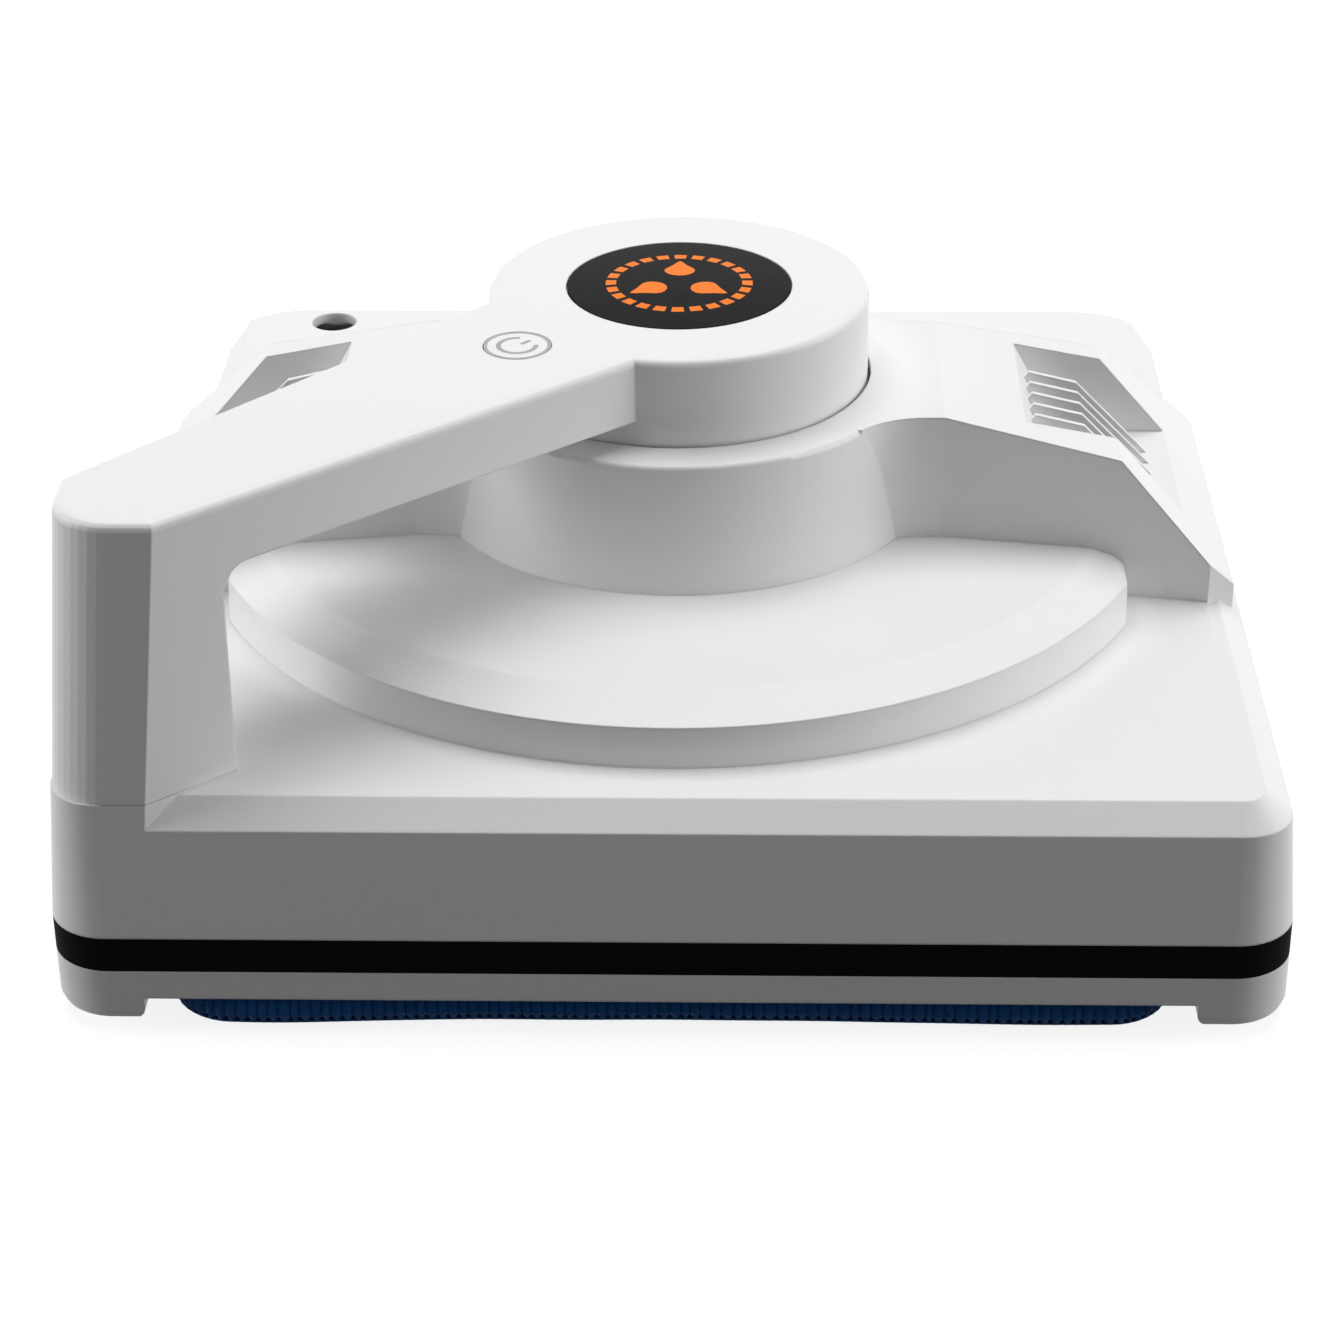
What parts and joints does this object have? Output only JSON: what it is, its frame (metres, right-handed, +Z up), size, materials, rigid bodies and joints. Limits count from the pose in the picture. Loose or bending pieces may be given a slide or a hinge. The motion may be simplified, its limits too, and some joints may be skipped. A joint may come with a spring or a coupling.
{
  "type": "window cleaning robot",
  "caption": "Square window cleaning robot with a diagonal carrying handle, side vents, rubber tracks, a suction fan and a cleaning cloth.",
  "frame": {"origin": "centre of the box's footprint, on the surface that the robot lies on", "axes": "+X to the robot's right, +Y to its rear with the power inlet, +Z up from the glass"},
  "size_m": [0.24, 0.24, 0.1065],
  "materials": {
    "white_shell": "gloss",
    "pale_plastic": "satin",
    "black_gloss": "gloss",
    "black_band": "satin",
    "grey_plastic": "satin",
    "dark_plastic": "satin",
    "cloth_blue": "knitted",
    "hook_black": "hooks",
    "belt_rubber": "matt",
    "steel": "bright",
    "circuit_green": "satin",
    "chip_black": "matt",
    "cell_blue": "satin",
    "gear_cream": "satin",
    "fan_grey": "satin"
  },
  "bodies": {
    "chassis": {"upper_shell": "white_shell", "handle_cover": "white_shell", "handle_base": "pale_plastic", "hub_badge": "black_gloss", "button_board": "circuit_green", "button_switch": "chip_black", "perimeter_band": "black_band", "lower_frame": "pale_plastic", "base_plate": "grey_plastic", "cloth_pad": "cloth_blue", "hook_strips": "hook_black", "inlet_grille": "dark_plastic", "suction_duct": "dark_plastic", "fan_housing": "dark_plastic", "fan_lid": "dark_plastic", "fan_motor": "steel", "fan_driver_board": "circuit_green", "exhaust_duct_left": "dark_plastic", "exhaust_duct_right": "dark_plastic", "belt_left": "belt_rubber", "belt_right": "belt_rubber", "track_frame_left": "grey_plastic", "track_frame_right": "grey_plastic", "idler_pin_left": "steel", "idler_pin_right": "steel", "gearbox_left": "gear_cream", "gearbox_right": "gear_cream", "drive_motor_left": "steel", "drive_motor_right": "steel", "main_board": "circuit_green", "board_parts": "chip_black", "battery_tray": "dark_plastic", "battery_cells": "cell_blue", "power_socket": "black_band", "edge_sensors": "chip_black", "base_screws": "steel", "handle_screws": "steel", "hub_screws": "steel", "fan_screws": "steel"},
    "fan_rotor": {"impeller": "fan_grey", "fan_shaft": "steel"},
    "drive_left": {"drive_wheel_left": "dark_plastic", "drive_shaft_left": "steel"},
    "drive_right": {"drive_wheel_right": "dark_plastic", "drive_shaft_right": "steel"},
    "idler_left": {"idler_wheel_left": "dark_plastic"},
    "idler_right": {"idler_wheel_right": "dark_plastic"},
    "button": {"power_button": "white_shell"}
  },
  "joints": [
    {"name": "impeller_spin", "type": "hinge", "parent": "chassis", "child": "fan_rotor", "pos_m": [0, 0, 0.062], "axis": [0, 0, 1], "continuous": true},
    {"name": "drive_left_spin", "type": "hinge", "parent": "chassis", "child": "drive_left", "pos_m": [-0.052, -0.052, 0.0155], "axis": [1, 0, 0], "continuous": true},
    {"name": "drive_right_spin", "type": "hinge", "parent": "chassis", "child": "drive_right", "pos_m": [0.052, -0.052, 0.0155], "axis": [1, 0, 0], "continuous": true},
    {"name": "idler_left_spin", "type": "hinge", "parent": "chassis", "child": "idler_left", "pos_m": [-0.052, 0.052, 0.0155], "axis": [1, 0, 0], "continuous": true},
    {"name": "idler_right_spin", "type": "hinge", "parent": "chassis", "child": "idler_right", "pos_m": [0.052, 0.052, 0.0155], "axis": [1, 0, 0], "continuous": true},
    {"name": "power_button_press", "type": "slide", "parent": "chassis", "child": "button", "axis": [0, 0, -1], "range_m": [0, 0.0005], "stiffness_N_per_m": 1500, "springref_m": -0.001}
  ],
  "couplings": [
    {"joint": "idler_left_spin", "follows": "drive_left_spin", "ratio": 1},
    {"joint": "idler_right_spin", "follows": "drive_right_spin", "ratio": 1}
  ]
}
